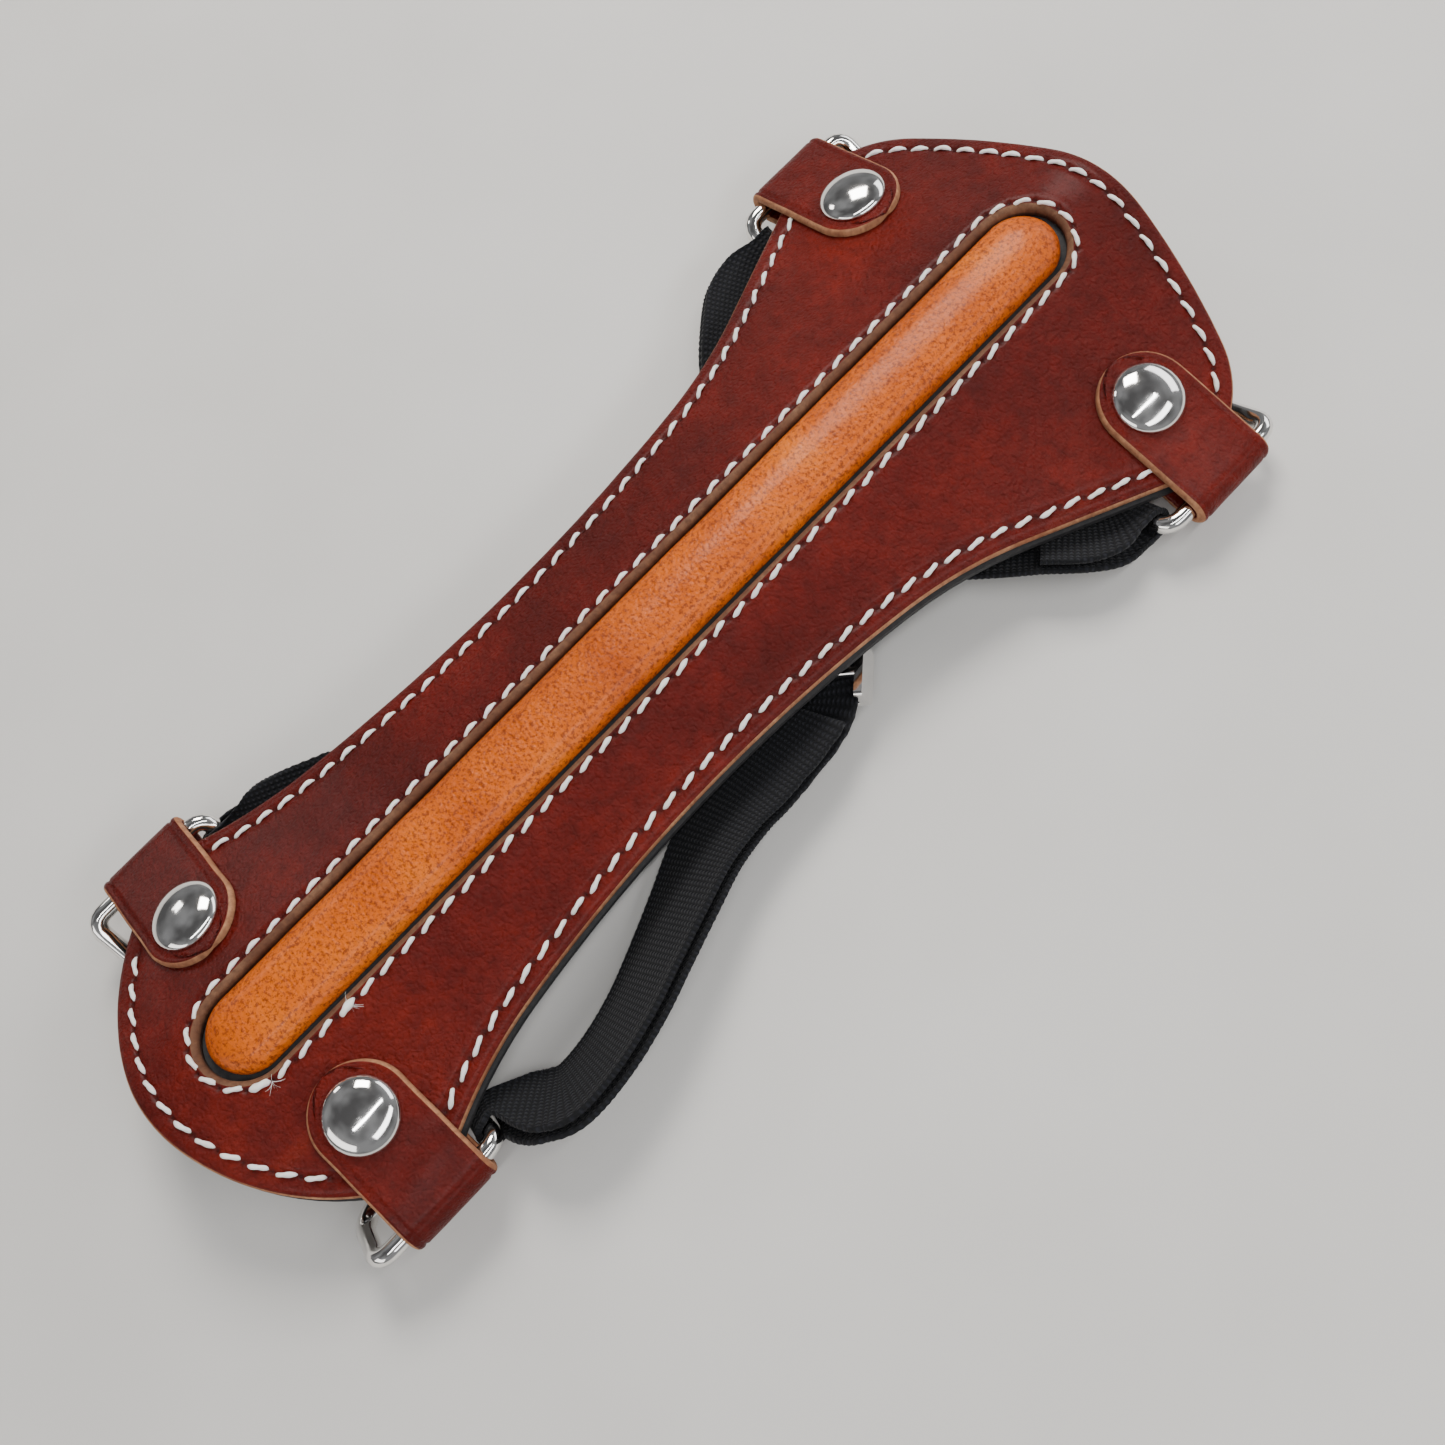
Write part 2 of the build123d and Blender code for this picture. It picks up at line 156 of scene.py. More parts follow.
def wobble(x, y, scale, seed):
    """Smooth noise from -1 to 1 over plan positions in millimetres."""
    places = zip(np.ravel(x), np.ravel(y))
    values = [noise.noise(Vector((a / scale, b / scale, seed))) for a, b in places]
    return np.array(values).reshape(np.shape(x))


# ---- plan outline ----
def arc_points(centre, radius, first, last):
    """Points on an arc; angles run clockwise from +y."""
    count = max(3, int(abs(last - first) * radius / 0.25))
    angle = np.linspace(first, last, count)
    return np.stack([centre[0] + radius * np.sin(angle), centre[1] + radius * np.cos(angle)], -1)


def round_corner(on_line, heading, arc_centre, arc_radius, radius):
    """Centre of a corner arc between a straight side and a round end, and its two tangent angles."""
    along = np.array([sin(heading), cos(heading)])
    inward = np.array([-cos(heading), sin(heading)])
    base = on_line + inward * radius - arc_centre
    b = base @ along
    c = base @ base - (arc_radius - radius) ** 2
    centre = arc_centre + base + along * (-b + sqrt(b * b - c))
    away = centre - arc_centre
    return centre, np.arctan2(away[0], away[1]), np.arctan2(-inward[0], -inward[1])


def corner_between_arcs(side_centre, side_radius, end_centre, end_radius, radius):
    """Centre of a corner arc outside the side's arc and inside the end's arc, and its two tangent angles."""
    apart = end_centre - side_centre
    distance = np.linalg.norm(apart)
    reach, room = side_radius + radius, end_radius - radius
    along = (reach**2 - room**2 + distance**2) / (2 * distance)
    towards = apart / distance
    square = np.array([-towards[1], towards[0]])
    centre = side_centre + towards * along - square * sqrt(reach**2 - along**2)
    to_side, from_end = side_centre - centre, centre - end_centre
    return centre, np.arctan2(to_side[0], to_side[1]), np.arctan2(from_end[0], from_end[1])


def half_side(way):
    """Right side from the waist to the end's middle, in coordinates that run up towards that end."""
    theta = WAIST_ARC
    waist_angle = np.linspace(0, theta, 90)
    waist = np.stack([WAIST_HALF + WAIST_RADIUS * (1 - np.cos(waist_angle)),
                      way * WAIST_Y + WAIST_RADIUS * np.sin(waist_angle)], -1)
    flare_centre = waist[-1] + np.array([FLARE_RADIUS * cos(theta), -FLARE_RADIUS * sin(theta)])
    end_theta = theta + ELBOW_FLARE_ARC
    if way == 1:
        joint = flare_centre + FLARE_RADIUS * np.array([-cos(end_theta), sin(end_theta)])
        tip_centre = np.array([0, HALF_LENGTH - ELBOW_TIP_RADIUS])
        tip_way = np.array([sin(ELBOW_TIP_ARC), cos(ELBOW_TIP_ARC)])
        centre = tip_centre + (ELBOW_TIP_RADIUS - ELBOW_SHOULDER_RADIUS) * tip_way
        corner, on_end, on_side = round_corner(joint, end_theta, centre, ELBOW_SHOULDER_RADIUS, ELBOW_CORNER)
        end = [arc_points(corner, ELBOW_CORNER, on_side, on_end),
               arc_points(centre, ELBOW_SHOULDER_RADIUS, on_end, ELBOW_TIP_ARC),
               arc_points(tip_centre, ELBOW_TIP_RADIUS, ELBOW_TIP_ARC, 0)]
    else:
        centre = np.array([0, HALF_LENGTH - WRIST_END_RADIUS])
        corner, on_side, on_end = corner_between_arcs(flare_centre, FLARE_RADIUS, centre, WRIST_END_RADIUS,
                                                      WRIST_CORNER)
        end_theta = on_side - pi / 2
        end = [arc_points(corner, WRIST_CORNER, on_side, on_end),
               arc_points(centre, WRIST_END_RADIUS, on_end, 0)]
    flare_angle = np.linspace(theta, end_theta, 120)
    flare = flare_centre + FLARE_RADIUS * np.stack([-np.cos(flare_angle), np.sin(flare_angle)], -1)
    return np.vstack([waist, flare] + end)


def outline_points():
    """Closed outline, clockwise from the elbow tip, with outward normals."""
    elbow = half_side(1)
    wrist = half_side(-1) * (1, -1)
    right = np.vstack([elbow[::-1], wrist[1:]])
    loop = np.vstack([right[:-1], (right * (-1, 1))[::-1][:-1]])
    loop, _ = resample(loop, STEP, closed=True)
    ahead = np.roll(loop, -1, 0) - np.roll(loop, 1, 0)
    ahead /= np.linalg.norm(ahead, axis=1)[:, None]
    return loop, np.stack([-ahead[:, 1], ahead[:, 0]], -1)


OUTLINE, OUTWARD = outline_points()


def slot_loop(gap):
    """Loop that runs `gap` outside the slot, point for point with the outline."""
    middle = np.stack([np.zeros(len(OUTLINE)), np.clip(OUTLINE[:, 1], *SLOT_ENDS)], -1)
    away = OUTLINE - middle
    away /= np.linalg.norm(away, axis=1)[:, None]
    return middle + away * (SLOT_HALF + gap)


def edge_loop(inset):
    return OUTLINE - OUTWARD * inset


# ---- tab frames, from the rings' hinges ----
class TabFrame:
    """Local frame of a tab: origin on the outer leather face at the rivet, x down the slope, z outward."""
    def __init__(self, end, side):
        self.way = 1 if side == "right" else -1
        joint = next(j for j in frame["joints"] if j["name"] == f"ring_{end}_{side}_hinge")
        self.pivot = np.array(joint["pos_m"]) / MM
        low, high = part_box(f"cap_{end}_{side}")
        self.x = np.array([self.way * cos(SLOPE), 0, -sin(SLOPE)])
        self.z = np.array([self.way * sin(SLOPE), 0, cos(SLOPE)])
        self.y = np.cross(self.z, self.x)
        self.origin = self.pivot - self.x * FOLD_X + self.z * FOLD_RADIUS
        self.origin[1] = (low.y + high.y) / 2 / MM
        self.hang = asin((self.pivot[2] - WIRE) / RING_DEPTH)

    def place(self, local):
        local = np.asarray(local, float)
        return self.origin + local[..., :1] * self.x + local[..., 1:2] * self.y + local[..., 2:] * self.z

    def local(self, points):
        away = points - self.origin
        return np.stack([away @ self.x, away @ self.y, away @ self.z], -1)


PLACES = [(end, side) for end in ("wrist", "elbow") for side in ("right", "left")]
TABS = {place: TabFrame(*place) for place in PLACES}


# ---- materials ----
class Shader:
    """Builds one node material; every method returns the socket that it made."""
    def __init__(self, name):
        self.material = bpy.data.materials.new(name)
        self.material.use_nodes = True
        self.nodes = self.material.node_tree.nodes
        self.links = self.material.node_tree.links
        self.principled = self.nodes["Principled BSDF"]
        self.coordinates = self.nodes.new("ShaderNodeTexCoord")

    def plug(self, socket, value):
        if isinstance(value, bpy.types.NodeSocket):
            self.links.new(value, socket)
        else:
            socket.default_value = value

    def make(self, kind, settings=(), **inputs):
        node = self.nodes.new("ShaderNode" + kind)
        for key, value in dict(settings).items():
            setattr(node, key, value)
        for key, value in inputs.items():
            self.plug(node.inputs[key.replace("_", " ")], value)
        return node

    def noise(self, scale, detail=4.0, rough=0.55, stretch=None):
        place = self.coordinates.outputs["Object"]
        if stretch:
            place = self.make("Mapping", Vector=place, Scale=stretch).outputs[0]
        return self.make("TexNoise", Vector=place, Scale=scale, Detail=detail, Roughness=rough).outputs[0]

    def voronoi(self, scale, feature="F1"):
        place = self.coordinates.outputs["Object"]
        return self.make("TexVoronoi", {"feature": feature}, Vector=place, Scale=scale).outputs["Distance"]

    def ramp(self, value, *stops):
        node = self.make("ValToRGB", Fac=value)
        ramp = node.color_ramp
        while len(ramp.elements) < len(stops):
            ramp.elements.new(0.5)
        for element, (at, colour) in zip(ramp.elements, stops):
            element.position = at
            element.color = colour if len(colour) == 4 else (*colour, 1)
        return node.outputs[0]

    def mix(self, amount, first, second, blend="MIX"):
        node = self.nodes.new("ShaderNodeMix")
        node.data_type = "RGBA"
        node.blend_type = blend
        self.plug(node.inputs[0], amount)
        self.plug(node.inputs[6], first)
        self.plug(node.inputs[7], second)
        return node.outputs[2]

    def math(self, operation, first, second=0.0):
        node = self.make("Math", {"operation": operation})
        self.plug(node.inputs[0], first)
        self.plug(node.inputs[1], second)
        return node.outputs[0]

    def spread(self, value, low, high, to_low, to_high):
        node = self.make("MapRange", Value=value, From_Min=low, From_Max=high, To_Min=to_low, To_Max=to_high)
        return node.outputs[0]

    def bump(self, height, strength, distance, under=None):
        node = self.make("Bump", Height=height, Strength=strength, Distance=distance)
        if under is not None:
            self.links.new(under, node.inputs["Normal"])
        return node.outputs[0]

    def attribute(self, name):
        return self.make("Attribute", {"attribute_name": name}).outputs["Fac"]

    def finish(self, **inputs):
        for key, value in inputs.items():
            self.plug(self.principled.inputs[key.replace("_", " ")], value)
        return self.material


def oxblood(name, wrinkles=0.0):
    """Waxed pull-up leather: mottled red-brown, fine creased grain, a soft polish."""
    s = Shader(name)
    cloud = s.noise(38, 5, 0.6)
    fine = s.noise(420, 5, 0.65)
    colour = s.ramp(cloud, (0.30, (0.062, 0.0034, 0.0018)), (0.52, (0.120, 0.0058, 0.0026)),
                    (0.74, (0.195, 0.0115, 0.0045)))
    colour = s.mix(s.spread(fine, 0.35, 0.7, 0.0, 0.55), colour, (0.042, 0.0028, 0.0018, 1))
    veins = s.voronoi(620, "DISTANCE_TO_EDGE")
    streak = s.noise(95, 3, 0.5, stretch=(1.0, 0.16, 1.0))
    colour = s.mix(s.spread(streak, 0.62, 0.80, 0.0, 0.35), colour, (0.270, 0.030, 0.012, 1))
    # Painted shade: the leather is darkened in and round each stitch hole, on top of the holes' real dip.
    hole = s.attribute("hole")
    colour = s.mix(hole, colour, (0.030, 0.004, 0.003, 1))
    grain = s.voronoi(1700, "SMOOTH_F1")
    pores = s.noise(2900, 4, 0.7)
    crease = s.math("MINIMUM", veins, 0.16)
    normal = s.bump(s.math("ADD", grain, s.math("MULTIPLY", pores, 0.9)), 0.80, 0.00034)
    normal = s.bump(crease, 0.55, 0.0009, normal)
    normal = s.bump(s.noise(60, 4, 0.5), 0.20, 0.0010, normal)
    if wrinkles:
        folds = s.noise(240, 4, 0.6, stretch=(1.0, 0.35, 1.0))
        normal = s.bump(folds, wrinkles, 0.0009, normal)
    rough = s.spread(s.noise(210, 4, 0.6), 0.3, 0.75, 0.30, 0.46)
    return s.finish(Base_Color=colour, Roughness=rough, Normal=normal, Coat_Weight=0.07, Coat_Roughness=0.20,
                    Specular_IOR_Level=0.13)


def raw_edge(name, light=1.0):
    """Cut leather edge: tan fibres, darker in streaks."""
    s = Shader(name)
    fibre = s.noise(1100, 5, 0.7, stretch=(1.0, 1.0, 0.35))
    patch = s.noise(130, 3, 0.5)
    tint = s.mix(s.spread(patch, 0.35, 0.65, 0, 1), (0.33 * light, 0.125 * light, 0.052 * light, 1),
                 (0.52 * light, 0.255 * light, 0.125 * light, 1))
    streaks = s.spread(fibre, 0.35, 0.7, 0.0, 0.75)
    colour = s.mix(streaks, tint, (0.15 * light, 0.045 * light, 0.02 * light, 1))
    normal = s.bump(fibre, 0.8, 0.0003)
    return s.finish(Base_Color=colour, Roughness=0.82, Normal=normal)


def tan_leather():
    """Rib leather: orange tan with pebbled grain, dark pores and short creases across."""
    s = Shader("rib_tan_leather")
    cloud = s.noise(45, 4, 0.6)
    colour = s.ramp(cloud, (0.30, (0.42, 0.066, 0.002)), (0.55, (0.64, 0.122, 0.003)),
                    (0.78, (0.76, 0.178, 0.006)))
    pits = s.voronoi(1500, "SMOOTH_F1")
    speck = s.noise(1500, 4, 0.75)
    colour = s.mix(s.spread(speck, 0.49, 0.60, 0.0, 0.75), colour, (0.15, 0.022, 0.003, 1))
    creases = s.noise(420, 3, 0.6, stretch=(0.30, 1.0, 0.30))
    pebble = s.math("MULTIPLY", pits, s.spread(speck, 0.3, 0.7, 0.6, 1.1))
    normal = s.bump(pebble, 0.80, 0.00030)
    normal = s.bump(creases, 0.50, 0.0004, normal)
    rough = s.spread(speck, 0.3, 0.7, 0.28, 0.44)
    return s.finish(Base_Color=colour, Roughness=rough, Normal=normal, Coat_Weight=0.12, Coat_Roughness=0.18,
                    Specular_IOR_Level=0.18)


def black_lining():
    s = Shader("lining_black_leather")
    fine = s.noise(900, 4, 0.6)
    colour = s.mix(s.spread(fine, 0.3, 0.7, 0, 1), (0.010, 0.010, 0.011, 1), (0.028, 0.026, 0.026, 1))
    normal = s.bump(s.voronoi(1300, "F1"), 0.35, 0.0002)
    return s.finish(Base_Color=colour, Roughness=0.72, Normal=normal)


def waxed_thread():
    s = Shader("white_waxed_thread")
    fibre = s.noise(2400, 4, 0.6)
    dirt = s.noise(140, 3, 0.5)
    colour = s.mix(s.spread(dirt, 0.45, 0.75, 0.0, 0.5), (0.96, 0.94, 0.90, 1), (0.80, 0.70, 0.62, 1))
    colour = s.mix(s.spread(fibre, 0.45, 0.8, 0.0, 0.25), colour, (0.55, 0.47, 0.40, 1))
    return s.finish(Base_Color=colour, Roughness=0.62, Normal=s.bump(fibre, 0.35, 0.0001),
                    Subsurface_Weight=0.15, Subsurface_Scale=0.0005)


def polished_metal():
    s = Shader("polished_nickel")
    smear = s.noise(260, 4, 0.6)
    colour = s.mix(s.spread(smear, 0.35, 0.7, 0, 1), (0.86, 0.84, 0.81, 1), (0.78, 0.76, 0.74, 1))
    rough = s.spread(smear, 0.3, 0.75, 0.05, 0.13)
    normal = s.bump(s.noise(90, 3, 0.5), 0.05, 0.0006)
    return s.finish(Base_Color=colour, Metallic=1.0, Roughness=rough, Normal=normal)


WEB_ROW = 0.95               # from rib to rib along the webbing
WEB_CORD = 0.80              # from cord to cord across it


def webbing():
    """Ribbed black elastic: rows of ribs across the band and a corded selvage, from its UV map in mm."""
    s = Shader("black_elastic_webbing")
    uv = s.make("SeparateXYZ", Vector=s.coordinates.outputs["UV"])
    along, across = uv.outputs[0], uv.outputs[1]
    row = s.math("SINE", s.math("MULTIPLY", along, 2 * pi / WEB_ROW), 0)
    slipped = s.math("ADD", s.math("MULTIPLY", across, 2 * pi / WEB_CORD), s.math("MULTIPLY", row, 0.9))
    cord = s.math("SINE", slipped, 0)
    weave = s.math("MULTIPLY", s.math("ADD", row, 1.0), s.math("ADD", cord, 1.0))
    fuzz = s.noise(1800, 4, 0.65)
    colour = s.mix(s.spread(weave, 0.0, 3.0, 0, 1), (0.0020, 0.0022, 0.0032, 1), (0.0110, 0.0115, 0.0160, 1))
    colour = s.mix(s.spread(fuzz, 0.62, 0.82, 0.0, 0.35), colour, (0.050, 0.052, 0.068, 1))
    normal = s.bump(weave, 0.55, 0.00016)
    normal = s.bump(fuzz, 0.25, 0.00012, normal)
    return s.finish(Base_Color=colour, Roughness=0.78, Normal=normal, Sheen_Weight=0.06, Sheen_Roughness=0.5,
                    Specular_IOR_Level=0.25)


def filler():
    s = Shader("rib_filler")
    cells = s.voronoi(700, "F1")
    colour = s.mix(cells, (0.05, 0.045, 0.04, 1), (0.14, 0.12, 0.10, 1))
    return s.finish(Base_Color=colour, Roughness=0.9, Normal=s.bump(cells, 0.5, 0.0004))


def pale_floor():
    s = Shader("pale_floor")
    grain = s.noise(18, 4, 0.5)
    colour = s.mix(s.spread(grain, 0.3, 0.7, 0, 1), (0.66, 0.64, 0.61, 1), (0.71, 0.69, 0.66, 1))
    return s.finish(Base_Color=colour, Roughness=0.6, Normal=s.bump(s.noise(300, 3, 0.5), 0.05, 0.0005))


LEATHER = oxblood("oxblood_leather")
TAB_LEATHER = oxblood("oxblood_tab_leather", wrinkles=0.45)
RAW = raw_edge("raw_cut_edge")
RIM = raw_edge("raw_slot_rim", 0.42)
# Painted shade: a darker copy of the cut edge for the slot's lower wall, the panel's underside and the outer
# edge's lower bevel.
RAW_SHADED = raw_edge("raw_slot_wall", 0.25)
TAN = tan_leather()
LINING = black_lining()
THREAD = waxed_thread()
METAL = polished_metal()
WEB = webbing()


# ---- seams ----
def under_tab(points):
    """True where a plan point on the leather lies under one of the tabs' top legs."""
    on_face = arch(points[:, 0], points[:, 1], 0)
    hidden = np.zeros(len(points), bool)
    for tab in TABS.values():
        local = tab.local(on_face)
        beyond = np.minimum(local[:, 0], 0)
        hidden |= (np.hypot(beyond, local[:, 1]) < TAB_HALF + 0.3) & (local[:, 0] < 24)
    return hidden


STITCH_PITCH = 4.25
STITCH_GAP = 0.58            # from a hole's middle to where its thread shows
STITCH_DEPTH = 0.42          # of a stitch's ends, in their holes
THREAD_RADIUS = 0.38         # of a stitch at its thickest
THREAD_ENDS = ((9.3, -74.2), (9.1, -89.8))     # where the slot seam is sewn over itself
FIBRE_RADIUS = 0.06
HOLE_RADIUS = 0.45
HOLE_DEPTH = 0.22

SEAMS = {"edge_stitching": edge_loop(EDGE_SEAM), "slot_stitching": slot_loop(SLOT_SEAM)}
HOLES = {name: resample(loop, STITCH_PITCH, closed=True)[0] for name, loop in SEAMS.items()}


def thread_fibres(rng):
    """Fine loose fibres at the slot seam's two sewn-over ends: centre lines in millimetres."""
    lines = []
    for spot in THREAD_ENDS:
        for _ in range(9):
            heading = rng.uniform(-0.9, 0.9) + (0 if rng.random() < 0.6 else pi)
            length = rng.uniform(1.0, 2.2)
            t = np.linspace(0, 1, 7)
            bend = rng.normal(0, 0.5)
            x = spot[0] + length * t * np.cos(heading + bend * t)
            y = spot[1] + length * t * np.sin(heading + bend * t)
            lines.append(arch(x, y, 0.25 + 0.5 * np.sin(pi * t) * rng.random()))
    return lines


def stitches(name, slant, lift, seed):
    """One thread mesh of slanted saddle stitches that rise from their holes, two strands twisted."""
    starts = HOLES[name]
    ends = np.roll(starts, -1, 0)
    rng = np.random.default_rng(seed)
    along_count, round_count = 13, 10
    t = np.linspace(0, 1, along_count)
    verts, faces = [], []
    hidden = under_tab((starts + ends) / 2)
    for start, end, skip in zip(starts, ends, hidden):
        if skip:
            continue
        ahead = (end - start) / np.linalg.norm(end - start)
        side = np.array([-ahead[1], ahead[0]])
        lean = slant * (1 + rng.normal(0, 0.15))
        first = start + ahead * STITCH_GAP + side * lean + rng.normal(0, 0.05, 2)
        last = end - ahead * STITCH_GAP - side * lean + rng.normal(0, 0.05, 2)
        line = first + (last - first) * t[:, None] + side * (np.sin(pi * t) * rng.normal(0, 0.06))[:, None]
        backstitch = min(np.linalg.norm((start + end) / 2 - spot) for spot in THREAD_ENDS) < STITCH_PITCH / 2
        rise = -STITCH_DEPTH + (lift + rng.normal(0, 0.04)) * np.sin(pi * t) ** 0.55
        centre = arch(line[:, 0], line[:, 1], rise)
        up = arch(line[:, 0], line[:, 1], rise + 1.0) - centre
        forward = np.gradient(centre, axis=0)
        forward /= np.linalg.norm(forward, axis=1)[:, None]
        across = np.cross(forward, up)
        across /= np.linalg.norm(across, axis=1)[:, None]
        over = np.cross(across, forward)
        size = THREAD_RADIUS * (1.5 if backstitch else 1.0) * (0.50 + 0.50 * np.sin(pi * t) ** 0.6)
        base = len(verts)
        phase = rng.uniform(0, pi)
        for i in range(along_count):
            for k in range(round_count):
                angle = 2 * pi * k / round_count
                radius = size[i] * (1 + 0.16 * cos(2 * angle - 9.0 * t[i] + phase))
                wide, high = radius * 1.08 * cos(angle), radius * 0.86 * sin(angle)
                verts.append(centre[i] + across[i] * wide + over[i] * high)
        faces += grid_faces(along_count, round_count, wrap_columns=True, start=base)
        faces.append(tuple(range(base, base + round_count))[::-1])
        last_ring = base + (along_count - 1) * round_count
        faces.append(tuple(range(last_ring, last_ring + round_count)))
    if name == "slot_stitching":
        for line in thread_fibres(rng):
            base = len(verts)
            for i, point in enumerate(line):
                radius = FIBRE_RADIUS * (1 - 0.7 * i / len(line))
                verts += [point + radius * np.array([cos(a), 0.3 * sin(a), sin(a)]) for a in (0.0, 2.1, 4.2)]
            faces += grid_faces(len(line), 3, wrap_columns=True, start=base)
    piece = mesh_piece(f"thread_{name}", verts, faces, [THREAD])
    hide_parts(name)
    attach(piece, "guard")
    return piece


# ---- the leather panel ----
RIM_WIDTH = 0.85             # raw bevel round the slot
# Each row of the panel's section is (distance from the edge, lift): rounded edge, groove and lip.
OUTER_ROWS = [(0.0, -0.85), (0.10, -0.42), (0.38, -0.12), (0.9, 0.0), (1.7, 0.04), (2.35, 0.0), (2.7, -0.16),
              (3.0, -0.24), (3.3, -0.16), (3.7, 0.0), (4.4, 0.05), (5.4, 0.03)]
INNER_ROWS = [(0.0, -0.95), (0.12, -0.60), (0.35, -0.30), (0.60, -0.08), (RIM_WIDTH, 0.06), (1.05, 0.10),
              (1.25, -0.06), (1.5, -0.18), (1.75, -0.06), (2.15, 0.08), (2.8, 0.10), (3.6, 0.04)]
MIDDLE_ROWS = 12
FACE, CUT, WALL, BEVEL = range(4)               # the panel's materials


def panel():
    """Leather skin as one closed band between the slot and the outline."""
    rows, lifts, zones = [], [], []
    for inset, lift in OUTER_ROWS:
        rows.append(edge_loop(inset))
        lifts.append(lift)
        zones.append(CUT if inset < 0.2 else FACE)
    outer, inner = edge_loop(OUTER_ROWS[-1][0]), slot_loop(INNER_ROWS[-1][0])
    for i in range(1, MIDDLE_ROWS + 1):
        share = i / (MIDDLE_ROWS + 1)
        rows.append(outer * (1 - share) + inner * share)
        lifts.append(0.03)
        zones.append(FACE)
    for gap, lift in INNER_ROWS[::-1]:
        rows.append(slot_loop(gap))
        lifts.append(lift)
        zones.append(BEVEL if gap < RIM_WIDTH + 0.05 else FACE)
    # The slot's lower wall, the underside and the outer edge's lower bevel take the darker raw edge, which is
    # painted shade.
    for gap, lift in ((0.0, -1.3), (0.05, -PANEL_THICK)):
        rows.append(slot_loop(gap))
        lifts.append(lift)
        zones.append(WALL)
    rows += [edge_loop(0.15), edge_loop(0.0)]
    lifts += [-PANEL_THICK, -1.45]
    zones += [WALL, CUT]

    plan = np.stack(rows)
    lift = np.repeat(np.array(lifts)[:, None], plan.shape[1], 1)
    top = len(OUTER_ROWS) + MIDDLE_ROWS + len(INNER_ROWS)
    swell = 0.10 * wobble(plan[:top, :, 0], plan[:top, :, 1], 17.0, 3.1)
    swell += 0.04 * wobble(plan[:top, :, 0], plan[:top, :, 1], 4.5, 8.7)
    lift[:top] += swell
    # The hole mask sinks the leather at each stitch hole and, through the leather's material, also paints
    # shade there.
    hole = np.zeros(plan.shape[:2])
    for holes in HOLES.values():
        for centre in holes[~under_tab(holes)]:
            away = np.linalg.norm(plan[:top] - centre, axis=2)
            near = np.exp(-((away / HOLE_RADIUS) ** 2))
            hole[:top] = np.maximum(hole[:top], near)
    lift -= HOLE_DEPTH * hole
    verts = arch(plan[..., 0], plan[..., 1], lift)
    count = plan.shape[1]
    faces = grid_faces(len(rows), count, wrap_rows=True, wrap_columns=True)
    slots = np.repeat(zones, count)
    piece = mesh_piece("leather_panel", verts.reshape(-1, 3), faces, [LEATHER, RAW, RAW_SHADED, RIM], slots)
    layer = piece.data.attributes.new("hole", "FLOAT", "POINT")
    layer.data.foreach_set("value", hole.astype(np.float32).ravel())
    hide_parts("top_panel")
    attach(piece, "guard")
    return piece


# ---- the rib ----
RIB_ARCHED = 0.35            # share of the panel's arch that the rib follows


def rib():
    """Leather-covered rib: a round-ended bar with a crowned top that stands in the slot."""
    low, high = SLOT_ENDS[0] + 0.1, SLOT_ENDS[1] - 0.1
    turn = np.linspace(0, pi, 25)
    round_end = np.stack([np.cos(turn), np.sin(turn)], -1) * RIB_HALF
    loop, _ = resample(np.vstack([round_end + (0, high), -round_end + (0, low)]), 0.5, closed=True)
    middle = np.stack([np.zeros(len(loop)), np.clip(loop[:, 1], low, high)], -1)
    away = (loop - middle) / RIB_HALF
    profile = [(1.0, -2.1), (1.0, -1.6), (0.992, -1.15), (0.965, -0.72), (0.915, -0.32), (0.84, 0.08),
               (0.74, 0.43), (0.61, 0.74), (0.46, 0.97), (0.30, 1.12), (0.15, 1.19), (0.0, 1.21)]
    verts = []
    for share, height in profile:
        plan = middle + away * (RIB_HALF * share)
        ripple = 0.10 * wobble(plan[:, 0], plan[:, 1], 9.0, 5.5) * min(1.0, share * 1.5)
        lift = height + 0.05 * wobble(plan[:, 0] * 0.5, plan[:, 1], 3.2, 1.5) * (1 - share) + ripple * 0.3
        plan = plan + away * ripple[:, None]
        # the rib follows only a little of the panel's arch, so its top stays flatter than the panel
        level = CROWN_TOP * (1 - RIB_ARCHED) + arch(plan[:, 0], plan[:, 1], 0)[:, 2] * RIB_ARCHED
        verts.append(np.stack([plan[:, 0], plan[:, 1], level + lift], -1))
    rows = len(profile)
    faces = grid_faces(rows, len(loop), wrap_columns=True)
    piece = mesh_piece("rib_leather", np.vstack(verts), faces, [TAN])
    weld = piece.modifiers.new("weld", "WELD")
    weld.merge_threshold = 0.00002
    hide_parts("rib_cover")
    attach(piece, "guard")
    return piece


# ---- tabs, rivets, rings ----
TAB_CREASE = 1.5             # pressed line inside the tab's edge
RING_NEAR_CORNER = 2.5
RING_FAR_CORNER = 4.2


